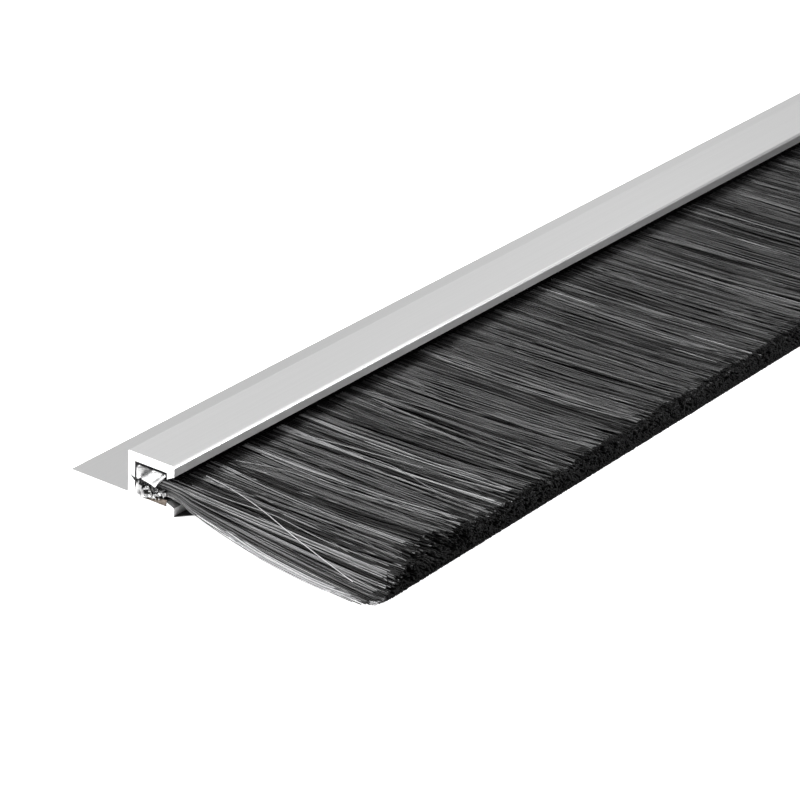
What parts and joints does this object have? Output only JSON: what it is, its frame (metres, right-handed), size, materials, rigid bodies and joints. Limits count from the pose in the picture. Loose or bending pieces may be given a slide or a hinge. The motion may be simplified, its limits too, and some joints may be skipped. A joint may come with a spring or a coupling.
{
  "type": "door sweep",
  "caption": "Brush door sweep: h-section aluminium carrier with a drilled fixing flange, and a channel holding a steel-backed strip brush of flexible black filaments.",
  "frame": {"origin": "middle of the sweep's footprint, on the flat face that goes against the door", "axes": "+Y along the strip, +X from the flange towards the filament tips, +Z out of the door face"},
  "size_m": [0.0762, 0.9264, 0.0105],
  "materials": {
    "aluminium": "satin",
    "galvanised_steel": "satin",
    "wire_steel": "satin",
    "filament": "satin"
  },
  "bodies": {
    "carrier": {"aluminium_carrier": "aluminium"},
    "brush_insert": {"brush_backing": "galvanised_steel", "core_wire": "wire_steel", "filament_roots": "filament"},
    "bristles_1": {"filament_pack_1": "filament"},
    "bristles_2": {"filament_pack_2": "filament"},
    "bristles_3": {"filament_pack_3": "filament"},
    "bristles_4": {"filament_pack_4": "filament"}
  },
  "joints": [
    {"name": "insert_slide", "type": "slide", "parent": "carrier", "child": "brush_insert", "axis": [0, 1, 0], "range_m": [-0.45, 0.45]},
    {"name": "bristles_1_bend", "type": "hinge", "parent": "brush_insert", "child": "bristles_1", "pos_m": [-0.0068, -0.34301, 0.005], "axis": [0, -1, 0], "range_deg": [-45, 45], "stiffness_Nm_per_rad": 0.25},
    {"name": "bristles_2_bend", "type": "hinge", "parent": "brush_insert", "child": "bristles_2", "pos_m": [-0.0068, -0.11434, 0.005], "axis": [0, -1, 0], "range_deg": [-45, 45], "stiffness_Nm_per_rad": 0.25},
    {"name": "bristles_3_bend", "type": "hinge", "parent": "brush_insert", "child": "bristles_3", "pos_m": [-0.0068, 0.11434, 0.005], "axis": [0, -1, 0], "range_deg": [-45, 45], "stiffness_Nm_per_rad": 0.25},
    {"name": "bristles_4_bend", "type": "hinge", "parent": "brush_insert", "child": "bristles_4", "pos_m": [-0.0068, 0.34301, 0.005], "axis": [0, -1, 0], "range_deg": [-45, 45], "stiffness_Nm_per_rad": 0.25}
  ]
}
